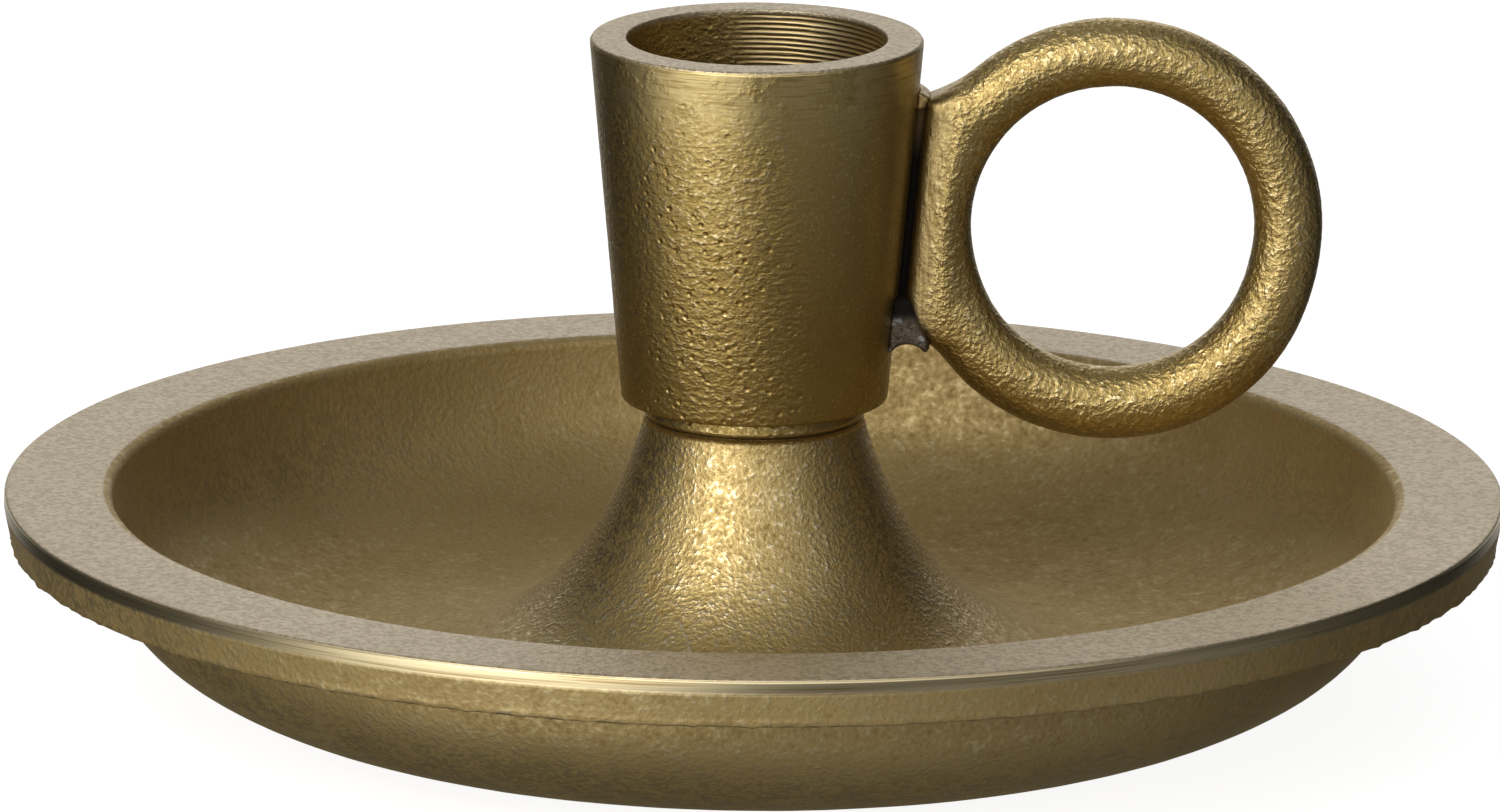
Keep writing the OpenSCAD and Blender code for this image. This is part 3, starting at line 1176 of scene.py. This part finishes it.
@dataclass
class RingHandle:
    """The finger ring, filed flat on the side that faces the cup."""

    ring_r: float = 15.2 * MM
    bar_r: float = 3.05 * MM
    ring_z: float = 42.0 * MM
    back_gap: float = 0.55 * MM
    top_flare: float = 1.5 * MM
    low_flare: float = 1.5 * MM
    top_corner: float = 145.5
    low_corner: float = 207.0
    flare_span: float = 18.0
    web_edge: tuple[float, float] = (12.0, 4.0)
    skin_filed_off: float = 0.6
    least_facing: float = 0.3
    low_half: tuple[float, float] = (0.1, 0.95)
    hole_drop: float = 0.5 * MM
    bar_drop: float = 0.85 * MM
    filed_edge: tuple[float, float] = (5.4 * MM, 2.2 * MM)
    filed_rag: float = 3.0 * MM
    filed_share: float = 0.75
    roundness: float = 2.0
    squareness: float = 6.0
    back_taper: float = 0.2
    steps_round: int = 104
    turns: int = 480
    relief: SkinRelief = SkinRelief(3.2 * MM, 0.10 * MM, 0.62 * MM, 0.09 * MM, 17.0)

    def reach(self, angle: float, ring_x: float, cup: "CandleCup") -> tuple[float, float, float]:
        """The bar at one turn round the ring's centre.

        Args:
            angle: the turn, in degrees from outwards towards up.
            ring_x: how far the ring's centre is from the axis.
            cup: the cup that the flat back follows.

        Returns:
            The inner and outer reach, and how much of the web is here, 0 to 1.
        """
        low = smooth_step(-math.sin(math.radians(angle)), *self.low_half)
        inner = self.ring_r - self.bar_r + low * self.hole_drop
        outer = self.ring_r + self.bar_r + low * self.bar_drop
        top_t = min(max(1 - (self.top_corner - angle) / self.flare_span, 0.0), 1.0)
        low_t = min(max(1 - (angle - self.low_corner) / self.flare_span, 0.0), 1.0)
        if angle < 180:
            outer += self.top_flare * top_t ** 3
        else:
            outer += self.low_flare * low_t ** 3
        lean = math.atan(cup.slope())
        facing = math.radians(angle - 180) + lean
        back = (ring_x - cup.wall_r(self.ring_z) - self.back_gap) * math.cos(lean)
        if math.cos(facing) > self.least_facing:
            outer = min(outer, back / math.cos(facing))
        before, past = self.web_edge
        web = min(smooth_step(angle, self.top_corner - before, self.top_corner + past),
                  smooth_step(angle, self.low_corner + before, self.low_corner - past))
        return inner, outer, web

    def guide(self, ring_x: float, cup: "CandleCup") -> bpy.types.Object:
        """The guide that the bar is swept along.

        Args:
            ring_x: how far the ring's centre is from the axis.
            cup: the cup that the flat back follows.

        Returns:
            The guide, linked to the scene.
        """
        rows = [self.reach(360.0 * i / self.turns, ring_x, cup) for i in range(self.turns + 1)]
        webs = [web for _, _, web in rows]
        shares = {Zone.FILED: webs, Zone.CAST: [1 - self.skin_filed_off * web for web in webs]}
        return make_guide("ring_casting", [(inner, self.bar_r, outer) for inner, outer, _ in rows],
                          shares)

    def material(self, cup: "CandleCup") -> bpy.types.Material:
        """Mixes the ring's brass.

        Args:
            cup: the cup that the flat back follows.

        Returns:
            Coarse cast brass, pale on its rubbed tops with painted highlight and dark in its low
            grain with painted shade, with the flat by the cup left from the file.
        """
        # The dark and pale grain colours are patina and wear, and also painted shade in the low
        # grain and painted highlight on the high grain.
        skin = BrassMaterial("ring brass", CastSkin(
            body=(0.46, 0.34, 0.135), patina_and_shade=(0.24, 0.155, 0.035), wear_and_sheen=(0.80, 0.665, 0.39),
            grain_size=0.33 * MM, grain_depth=0.11 * MM, lump_size=0.60 * MM,
            lump_depth=0.20 * MM, roughness=(0.26, 0.52)))
        g = skin.g
        x, _, z = g.split(skin.place)
        back_0 = cup.wall_r(0.0) + self.back_gap
        edge = g.sub(g.sub(x, g.mul(z, cup.slope())), back_0)
        broken = g.noise(skin.place, 2.5 * MM, detail=3.0, roughness=0.6, seed=71.0)
        mask = g.ramp(g.add(edge, g.mul(broken, self.filed_rag)), *self.filed_edge)
        skin.cover(FiledFace(), g.mul(mask, self.filed_share))
        return skin.finish()

    def build(self, bar: BarTree, cup: "CandleCup") -> bpy.types.Object:
        """Makes the ring.

        Args:
            bar: the tree that sweeps the bar.
            cup: the cup that the ring's back follows.

        Returns:
            The finished piece.
        """
        ring_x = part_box("ring_handle")[1].x - self.ring_r - self.bar_r
        values = {**self.relief.values(), "Material": self.material(cup),
                  "Steps Round": self.steps_round, "Turns": self.turns, "Ring X": ring_x,
                  "Ring Z": self.ring_z, "Roundness": self.roundness,
                  "Squareness": self.squareness, "Back Taper": self.back_taper}
        return attach(bar.run(self.guide(ring_x, cup), values), "ring_handle")


# ---------------------------------------------------------------- braze and fixings


@dataclass
class BrazedJoint:
    """The two runs of braze that hold the ring to the cup."""

    voxel: float = 0.14 * MM
    smoothing: int = 4
    swell: float = 0.09 * MM

    def sooty_with_gap_shadow(self) -> bpy.types.Material:
        """Braze dark with soot and traces of flux, with a painted black shadow in the gap."""
        return BrassMaterial("braze crust", BrazeCrust(), metallic=0.55).finish()

    def bare(self) -> bpy.types.Material:
        """Braze that stayed clean enough to look like the castings beside it."""
        return BrassMaterial("bare braze", CastSkin(body=(0.36, 0.26, 0.11))).finish()

    def bead(self, node: str, material: bpy.types.Material) -> bpy.types.Object:
        """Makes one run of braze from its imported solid.

        Args:
            node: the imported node.
            material: the material to give it.

        Returns:
            The finished piece.
        """
        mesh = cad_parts[node].data.copy()
        piece = add_object(node + "_run", mesh)
        mesh.materials.clear()
        mesh.materials.append(material)
        piece.modifiers.new("weld", "WELD").merge_threshold = 0.001 * MM
        remesh = piece.modifiers.new("remesh", "REMESH")
        remesh.mode = "VOXEL"
        remesh.voxel_size = self.voxel
        remesh.use_smooth_shade = True
        smooth = piece.modifiers.new("smooth", "SMOOTH")
        smooth.iterations = self.smoothing
        swell = piece.modifiers.new("swell", "DISPLACE")
        swell.mid_level = 0.0
        swell.strength = self.swell
        settle(piece)
        return attach(piece, node)

    def build(self) -> list[bpy.types.Object]:
        """Makes both runs.

        Returns:
            The finished pieces.
        """
        return [self.bead("lower_braze", self.sooty_with_gap_shadow()), self.bead("upper_braze", self.bare())]


class Fixings:
    """The screw under the stem and its washer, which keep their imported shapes."""

    def build(self) -> list[bpy.types.Object]:
        """Dresses both.

        Returns:
            The two objects.
        """
        material = BrassMaterial("turned brass", TurnedFace(roughness=0.32)).finish()
        pieces = [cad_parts[name] for name in ("fixing_screw", "screw_washer")]
        for piece in pieces:
            piece.data.materials.clear()
            piece.data.materials.append(material)
        return pieces


def attach(piece: bpy.types.Object, node: str) -> bpy.types.Object:
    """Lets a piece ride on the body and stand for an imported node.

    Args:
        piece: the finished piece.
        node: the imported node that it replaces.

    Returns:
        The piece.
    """
    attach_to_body(piece, BODY)
    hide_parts(node)
    return piece


# ---------------------------------------------------------------- studio


@dataclass(frozen=True)
class Glow:
    """One soft bright stretch of the room, far from the object."""

    azimuth: float
    elevation: float
    radiance: float

    def way(self) -> Vector:
        """The direction it lies in: degrees from the camera towards the right, and up."""
        turn, rise = math.radians(self.azimuth), math.radians(self.elevation)
        return Vector((math.sin(turn) * math.cos(rise), -math.cos(turn) * math.cos(rise),
                       math.sin(rise)))


@dataclass(frozen=True)
class Softbox:
    """One soft lamp at the front left."""

    name: str
    place: tuple[float, float, float]
    size: tuple[float, float]
    power: float


@dataclass
class Studio:
    """Floor, lights and camera."""

    target: Vector = Vector((-0.37 * MM, 0.0, 25.54 * MM))
    distance: float = 1145.9 * MM
    pitch: float = math.radians(13.944)
    roll: float = math.radians(0.425)
    lens: float = 317.2
    floor_r: float = 5.0
    floor_albedo: float = 0.3
    floor_light: float = 0.9
    room_light: float = 0.02
    glow_spread: tuple[float, float] = (42.0, 4.0)
    room: tuple[Glow, ...] = (
        Glow(-35.0, 12.0, 1.50),
        Glow(-15.0, 28.0, 0.76),
        Glow(24.0, 30.0, 0.77),
        Glow(-80.0, 18.0, 0.05),
        Glow(-80.0, 45.0, 0.27),
        Glow(80.0, 15.0, 0.03),
        Glow(80.0, 45.0, 0.05),
        Glow(0.0, 88.0, 0.26),
        Glow(180.0, 12.0, 1.02),
        Glow(180.0, 40.0, 0.33),
    )
    ground: tuple[Glow, ...] = (
        Glow(-40.0, -20.0, 0.93),
        Glow(0.0, -20.0, 0.03),
        Glow(-90.0, -20.0, 0.03),
        Glow(90.0, -20.0, 0.03),
        Glow(-60.0, -38.0, 0.27),
        Glow(60.0, -38.0, 0.17),
        Glow(30.0, -55.0, 0.33),
        Glow(180.0, -20.0, 0.11),
        Glow(0.0, -88.0, 0.03),
    )
    lamp_aim: Vector = Vector((0.0, 0.0, 0.03))
    softboxes: tuple[Softbox, ...] = (
        Softbox("low softbox", (-0.425, -0.585, 0.293), (0.30, 0.28), 0.09),
        Softbox("softbox", (-0.361, -0.497, 0.493), (0.36, 0.30), 1.40),
    )

    def camera(self) -> None:
        """Puts the camera where the photograph was taken from."""
        data = bpy.data.cameras.new("portrait camera")
        data.sensor_width = 36.0
        data.lens = self.lens
        data.clip_start = 0.05
        data.clip_end = 30.0
        forward = Vector((0.0, math.cos(self.pitch), -math.sin(self.pitch)))
        level_up = Vector((0.0, math.sin(self.pitch), math.cos(self.pitch)))
        right = Vector((1.0, 0.0, 0.0))
        c, s = math.cos(self.roll), math.sin(self.roll)
        axes = (c * right + s * level_up, -s * right + c * level_up, -forward)
        camera = add_object("portrait camera", data)
        turn = Matrix(axes).transposed().to_4x4()
        camera.matrix_world = Matrix.Translation(self.target - self.distance * forward) @ turn
        bpy.context.scene.camera = camera

    def floor(self) -> None:
        """Lays a wide pale floor."""
        sides = 96
        mesh = bpy.data.meshes.new("floor")
        rim = [(self.floor_r * math.cos(math.tau * i / sides),
                self.floor_r * math.sin(math.tau * i / sides), 0.0) for i in range(sides)]
        mesh.from_pydata(rim, [], [tuple(range(sides))])
        floor = add_object("floor", mesh)
        material = bpy.data.materials.new("pale floor")
        material.use_nodes = True
        shader = material.node_tree.nodes["Principled BSDF"]
        shader.inputs["Base Color"].default_value = (self.floor_albedo,) * 3 + (1.0,)
        shader.inputs["Roughness"].default_value = 0.9
        shader.inputs["Specular IOR Level"].default_value = 0.1
        shader.inputs["Emission Color"].default_value = (1.0, 1.0, 1.0, 1.0)
        shader.inputs["Emission Strength"].default_value = self.floor_light
        mesh.materials.append(material)
        floor.visible_glossy = False

    def lamp(self, softbox: Softbox) -> None:
        """Hangs one soft lamp.

        Args:
            softbox: its name, place, size in metres and power in watts.
        """
        data = bpy.data.lights.new(softbox.name, "AREA")
        data.shape = "RECTANGLE"
        data.size, data.size_y = softbox.size
        data.energy = softbox.power
        lamp = add_object(softbox.name, data)
        lamp.location = softbox.place
        way = self.lamp_aim - Vector(softbox.place)
        lamp.rotation_euler = way.to_track_quat("-Z", "Y").to_euler()

    def world(self) -> None:
        """A dim room with soft bright stretches. The brass mirrors those of the ground too."""
        world = bpy.data.worlds.new("studio")
        world.use_nodes = True
        g = Graph(world.node_tree)
        way = g.node("ShaderNodeTexCoord").outputs["Generated"]
        edge, core = (math.cos(math.radians(angle)) for angle in self.glow_spread)
        light = self.room_light
        for glow in self.room + self.ground:
            facing = g.vector("DOT_PRODUCT", way, glow.way())
            light = g.add(light, g.ramp(facing, edge, core, 0.0, glow.radiance))
        background = world.node_tree.nodes["Background"]
        background.inputs["Color"].default_value = (1.0, 1.0, 1.0, 1.0)
        g.feed(background.inputs["Strength"], light)
        bpy.context.scene.world = world

    def build(self) -> None:
        """Sets up the studio."""
        self.floor()
        self.world()
        for softbox in self.softboxes:
            self.lamp(softbox)
        self.camera()
        view = bpy.context.scene.view_settings
        view.view_transform = "Standard"
        view.look = "None"


# ---------------------------------------------------------------- main


def report(piece: bpy.types.Object) -> None:
    """Logs what a piece is made of.

    Args:
        piece: a finished piece.
    """
    corners = np.array([v.co for v in piece.data.vertices])
    triangles = sum(len(p.vertices) - 2 for p in piece.data.polygons)
    low, high = corners.min(0) / MM, corners.max(0) / MM
    log.info("%s: %d triangles, from %s to %s mm", piece.name, triangles,
             np.round(low, 2).tolist(), np.round(high, 2).tolist())


def main() -> None:
    """Builds the studio and every piece."""
    logging.basicConfig(level=logging.INFO, format="%(name)s: %(message)s")
    Studio().build()
    lathe = LatheTree()
    cup = CandleCup()
    pieces = [DripPan().build(lathe), cup.build(lathe), RingHandle().build(BarTree(), cup)]
    pieces += BrazedJoint().build()
    pieces += Fixings().build()
    for piece in pieces:
        report(piece)


if __name__ == "__main__":
    main()
